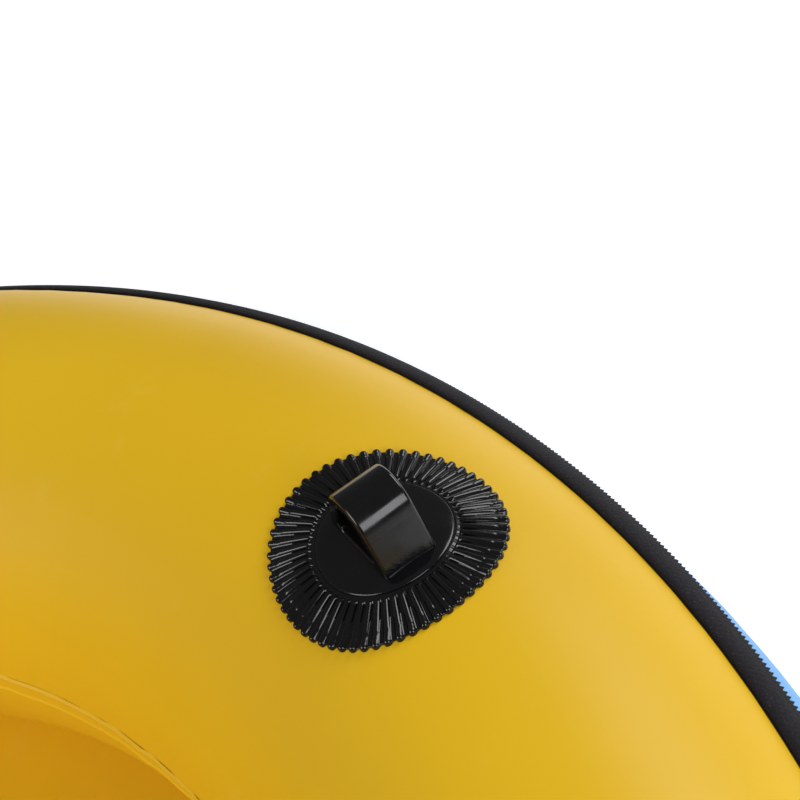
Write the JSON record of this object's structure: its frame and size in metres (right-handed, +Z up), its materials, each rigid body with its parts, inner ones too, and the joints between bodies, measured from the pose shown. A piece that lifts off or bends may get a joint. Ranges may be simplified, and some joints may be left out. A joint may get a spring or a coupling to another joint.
{
  "type": "towable tube",
  "caption": "Inflatable towable ring: coated-fabric cover over an air bladder, fabric floor, moulded tow lug, rope side handles, screw valve and bladder zipper.",
  "frame": {"origin": "centre of the underside, on the surface that the tube stands on", "axes": "+Z up out of the ring, +Y from the centre towards the tow lug, +X towards the right-hand handle"},
  "size_m": [1.2, 1.2, 0.2905],
  "materials": {
    "cover_yellow": "satin PVC-coated woven fabric",
    "cover_blue": "satin PVC-coated woven fabric",
    "binding_tape": "heavy ribbed woven tape",
    "bladder_vinyl": "plain vinyl film",
    "moulded_black": "glossy moulded PVC",
    "rope": "braided polypropylene rope",
    "grip_foam": "closed-cell foam",
    "valve_rubber": "soft rubber",
    "zip_tape": "woven zipper tape",
    "zip_coil": "nylon coil",
    "zip_metal": "satin zinc"
  },
  "bodies": {
    "tube": {"cover_top": "cover_yellow", "cover_lower": "cover_blue", "cover_inner_wall": "cover_yellow", "cover_floor": "cover_yellow", "outer_binding": "binding_tape", "inner_seam_tape": "cover_yellow", "floor_seam_tape": "cover_yellow", "bladder_upper": "bladder_vinyl", "bladder_lower": "bladder_vinyl", "tow_lug_skirt": "moulded_black", "tow_lug_eye": "moulded_black", "right_handle_front_lug_skirt": "moulded_black", "right_handle_front_lug_eye": "moulded_black", "right_handle_rear_lug_skirt": "moulded_black", "right_handle_rear_lug_eye": "moulded_black", "left_handle_front_lug_skirt": "moulded_black", "left_handle_front_lug_eye": "moulded_black", "left_handle_rear_lug_skirt": "moulded_black", "left_handle_rear_lug_eye": "moulded_black", "valve_base": "moulded_black", "valve_cover_ring": "cover_yellow", "zip_tape_upper": "zip_tape", "zip_tape_lower": "zip_tape", "zip_coil_upper": "zip_coil", "zip_coil_lower": "zip_coil", "zip_stop_closed": "zip_metal", "zip_stop_open": "zip_metal"},
    "right_handle": {"right_handle_rope": "rope"},
    "right_grip": {"right_handle_grip": "grip_foam"},
    "left_handle": {"left_handle_rope": "rope"},
    "left_grip": {"left_handle_grip": "grip_foam"},
    "valve_gasket": {"valve_gasket": "valve_rubber"},
    "valve_insert": {"valve_insert": "moulded_black", "valve_tether_strap": "valve_rubber"},
    "valve_diaphragm": {"valve_diaphragm": "valve_rubber"},
    "valve_tether_ring": {"valve_tether_ring": "valve_rubber"},
    "valve_cap": {"valve_cap": "moulded_black"},
    "zip_slider": {"zip_slider": "zip_metal"},
    "zip_pull": {"zip_pull": "zip_metal"}
  },
  "joints": [
    {"name": "right_handle_swing", "type": "hinge", "parent": "tube", "child": "right_handle", "pos_m": [0.4775, 0, 0.273], "axis": [0, -1, 0], "range_deg": [0, 200]},
    {"name": "right_grip_spin", "type": "hinge", "parent": "right_handle", "child": "right_grip", "pos_m": [0.52217, 0, 0.26752], "axis": [0, 1, 0], "continuous": true},
    {"name": "left_handle_swing", "type": "hinge", "parent": "tube", "child": "left_handle", "pos_m": [-0.4775, 0, 0.273], "axis": [0, 1, 0], "range_deg": [0, 200]},
    {"name": "left_grip_spin", "type": "hinge", "parent": "left_handle", "child": "left_grip", "pos_m": [-0.52217, 0, 0.26752], "axis": [0, 1, 0], "continuous": true},
    {"name": "valve_insert_lift", "type": "slide", "parent": "tube", "child": "valve_gasket", "axis": [0, 0, 1], "range_m": [0, 0.004]},
    {"name": "valve_insert_turn", "type": "hinge", "parent": "valve_gasket", "child": "valve_insert", "pos_m": [0, -0.485, 0.262], "axis": [0, 0, 1], "range_deg": [0, 540]},
    {"name": "valve_diaphragm_open", "type": "slide", "parent": "valve_insert", "child": "valve_diaphragm", "axis": [0, 0, 1], "range_m": [-0.0015, 0], "stiffness_N_per_m": 50, "springref_m": 0.001},
    {"name": "valve_cap_lift", "type": "slide", "parent": "valve_insert", "child": "valve_tether_ring", "axis": [0, 0, 1], "range_m": [0, 0.004]},
    {"name": "valve_cap_turn", "type": "hinge", "parent": "valve_tether_ring", "child": "valve_cap", "pos_m": [0, -0.485, 0.262], "axis": [0, 0, 1], "range_deg": [0, 540]},
    {"name": "zip_run", "type": "hinge", "parent": "tube", "child": "zip_slider", "pos_m": [0, 0, 0.0697], "axis": [0, 0, 1], "range_deg": [0, 66]},
    {"name": "zip_pull_swing", "type": "hinge", "parent": "zip_slider", "child": "zip_pull", "pos_m": [-0.32401, -0.49893, 0.06593], "axis": [-0.8387, 0.5446, 0], "range_deg": [-25, 140]}
  ],
  "couplings": [
    {"joint": "valve_insert_lift", "follows": "valve_insert_turn", "m_per_rad": 0.0003979},
    {"joint": "valve_cap_lift", "follows": "valve_cap_turn", "m_per_rad": 0.0003979}
  ]
}
